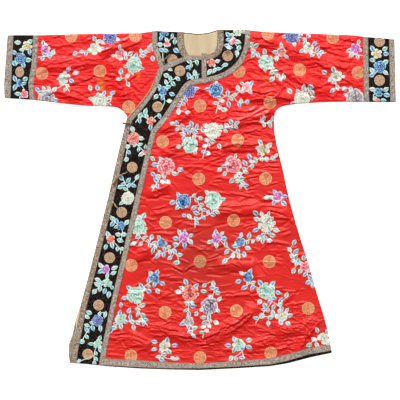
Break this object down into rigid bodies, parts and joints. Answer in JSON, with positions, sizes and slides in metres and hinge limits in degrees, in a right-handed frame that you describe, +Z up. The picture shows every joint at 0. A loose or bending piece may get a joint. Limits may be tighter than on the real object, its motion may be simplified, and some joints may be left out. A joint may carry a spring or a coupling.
{
  "type": "side-fastening silk robe laid flat",
  "caption": "Red silk robe with embroidered black satin bands and woven ribbon trims, side fastening, laid flat.",
  "frame": {"origin": "on the surface the robe lies on, at its centre seam and half way down it", "axes": "+X to the wearer's left, +Y to the collar, +Z up from the surface"},
  "size_m": [1.5272, 1.326, 0.0163],
  "materials": {
    "silk_red": "lustrous silk",
    "satin_black": "soft satin",
    "ribbon_woven": "matte woven ribbon",
    "lining_cream": "plain silk",
    "cord_silk": "twisted silk cord",
    "embroidery_silk": "satin stitch in floss silk",
    "embroidery_gold": "couched gold-wrapped thread"
  },
  "bodies": {
    "root": {"back": "silk_red", "front_left": "silk_red", "front_overlap": "silk_red", "front_right": "silk_red", "neck_lining": "lining_cream", "neck_binding": "cord_silk", "sleeve_right": "silk_red", "cuff_right_inner_trim": "ribbon_woven", "cuff_right_band": "satin_black", "cuff_right_outer_trim": "ribbon_woven", "sleeve_left": "silk_red", "cuff_left_inner_trim": "ribbon_woven", "cuff_left_band": "satin_black", "cuff_left_outer_trim": "ribbon_woven", "trim_overlap_outer": "ribbon_woven", "trim_side_outer": "ribbon_woven", "band_overlap": "satin_black", "band_side": "satin_black", "trim_overlap_inner": "ribbon_woven", "trim_side_inner": "ribbon_woven", "trim_centre": "ribbon_woven", "trim_neck_left": "ribbon_woven", "yoke_left": "satin_black", "trim_yoke_left": "ribbon_woven", "trim_hem": "ribbon_woven", "hem_band": "satin_black", "trim_neck_right": "ribbon_woven", "yoke_right": "satin_black", "trim_yoke_right": "ribbon_woven", "back_side_band": "satin_black", "fastening_neck": "cord_silk", "fastening_underarm": "cord_silk", "fastening_side_upper": "cord_silk", "fastening_side_lower": "cord_silk"}
  },
  "joints": []
}
